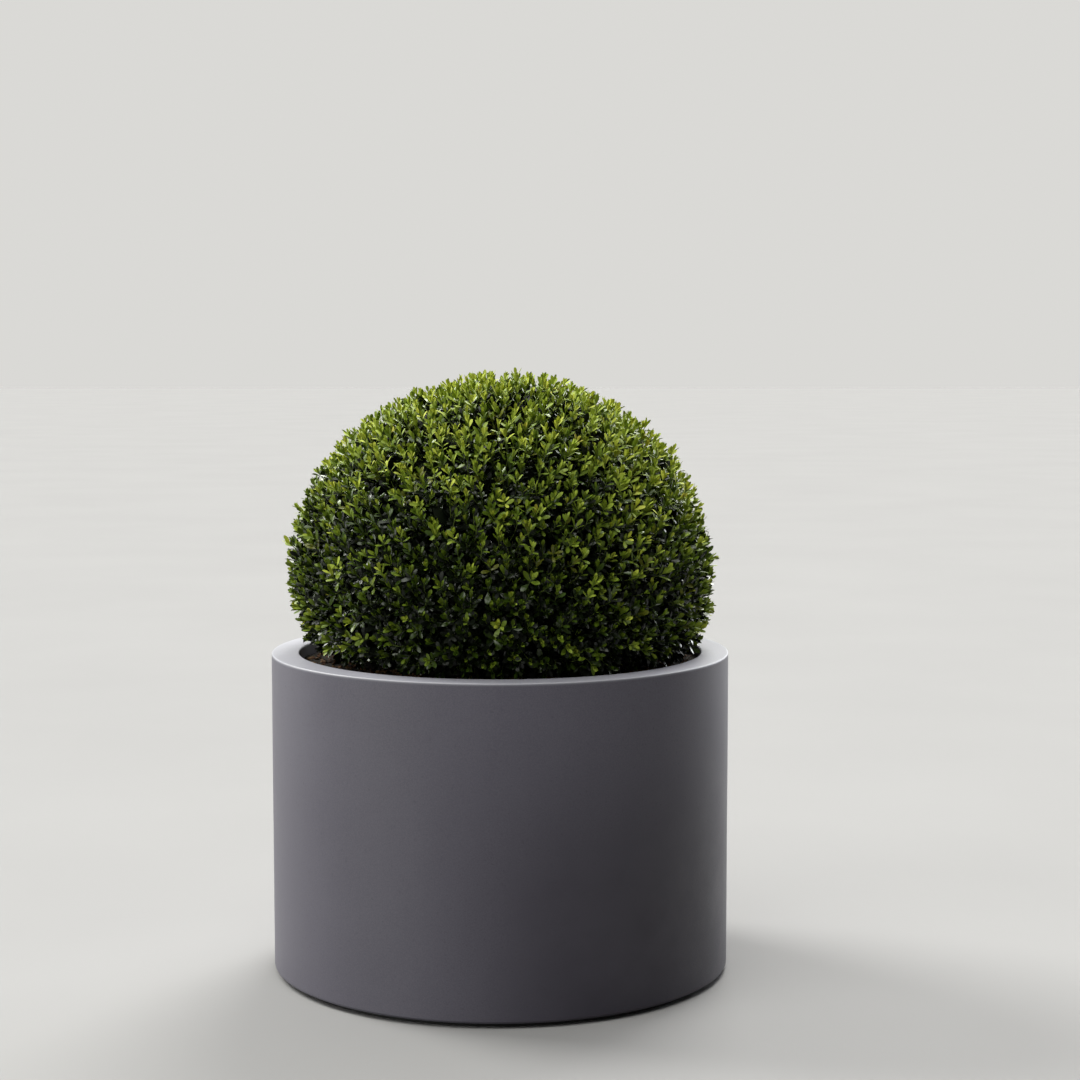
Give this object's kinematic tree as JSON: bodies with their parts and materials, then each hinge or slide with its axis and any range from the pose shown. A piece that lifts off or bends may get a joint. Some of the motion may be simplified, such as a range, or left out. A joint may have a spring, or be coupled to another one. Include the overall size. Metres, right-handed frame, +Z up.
{
  "type": "box topiary ball in a round planter",
  "caption": "Evergreen shrub clipped to a ball, growing from soil in a straight round grey planter with a thick flat rim and a recessed foot; it stands on a floor.",
  "frame": {"origin": "middle of the flat underside of the planter's foot, on the floor", "axes": "+Z up along the planter's axis, -Y towards the viewer of the picture, +X to that viewer's right"},
  "size_m": [0.45, 0.45, 0.5911],
  "materials": {
    "planter_shell": "matte",
    "foot": "matte",
    "soil": "matte",
    "bark": "matte",
    "leaves": "satin"
  },
  "bodies": {
    "root": {"planter": "planter_shell", "planter_foot": "foot", "soil": "soil", "main_stem": "bark", "clipped_ball": "leaves"}
  },
  "joints": []
}
